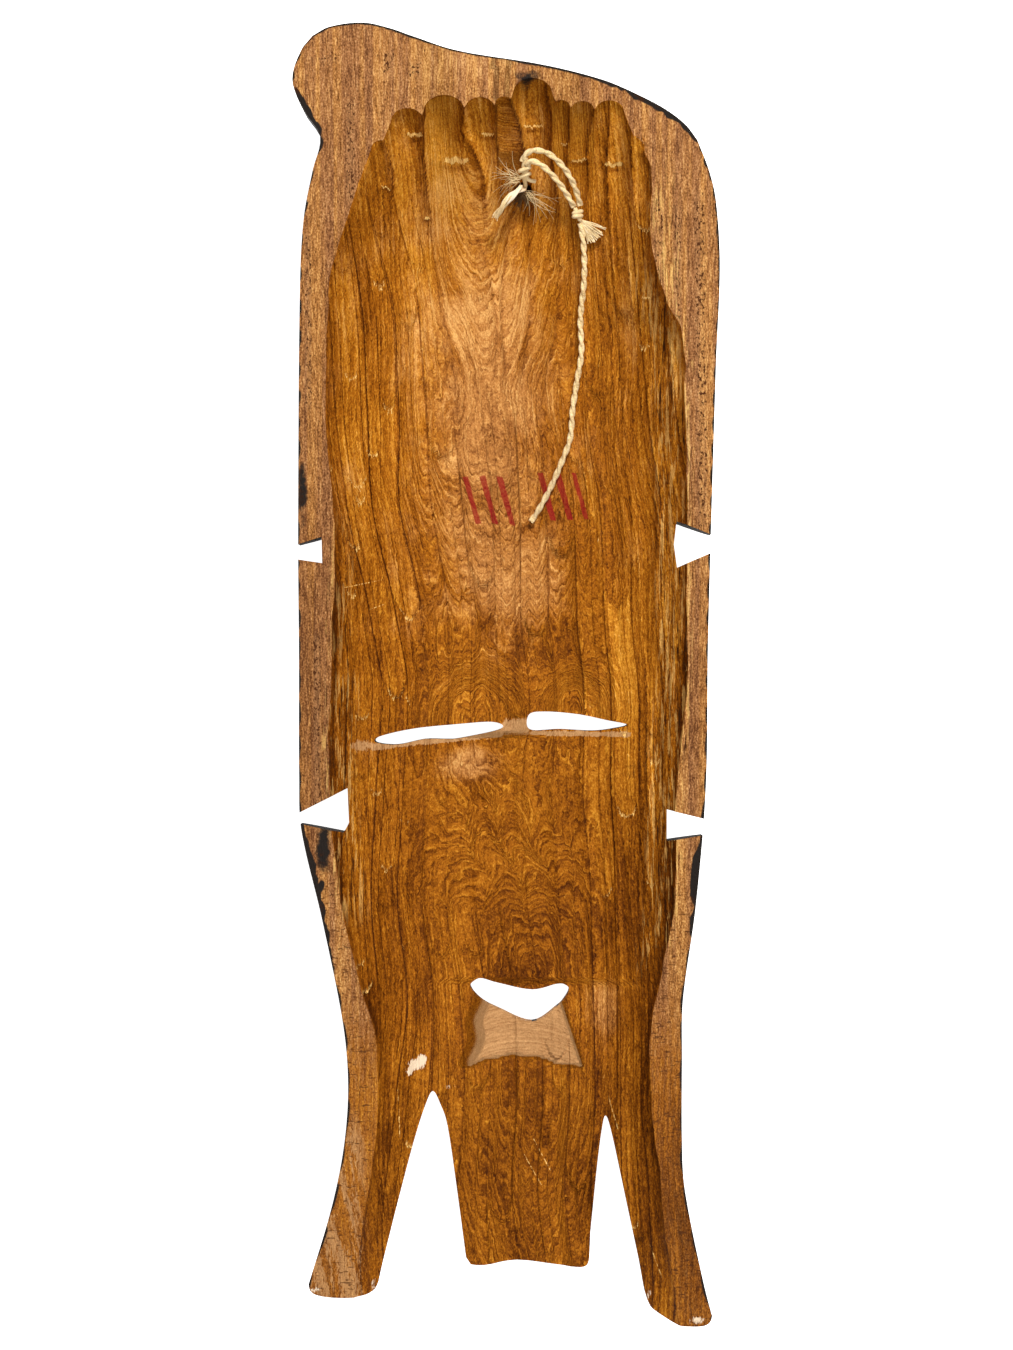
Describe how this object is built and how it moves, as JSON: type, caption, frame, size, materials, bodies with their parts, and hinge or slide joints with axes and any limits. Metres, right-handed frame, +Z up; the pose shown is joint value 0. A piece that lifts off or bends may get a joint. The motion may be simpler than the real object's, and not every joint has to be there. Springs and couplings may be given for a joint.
{
  "type": "wooden mask",
  "caption": "Tall carved wooden face mask, hollowed behind, with slit eyes, an open mouth, a three-part beard and a twine loop for hanging.",
  "frame": {"origin": "middle of the bounding box of the mask, on the surface that it lies on, cords not counted", "axes": "+Z up, out of the hollow back; +Y towards the crest; +X to the right as the hollow back is seen"},
  "size_m": [0.1968, 0.5999, 0.078],
  "materials": {
    "carved_wood": "oiled, gouge-cut",
    "cotton_twine": "two-ply twine"
  },
  "bodies": {
    "root": {"carved_mask": "carved_wood", "twine_stub": "cotton_twine", "twine_loop": "cotton_twine", "twine_knot": "cotton_twine", "twine_tail": "cotton_twine"}
  },
  "joints": []
}
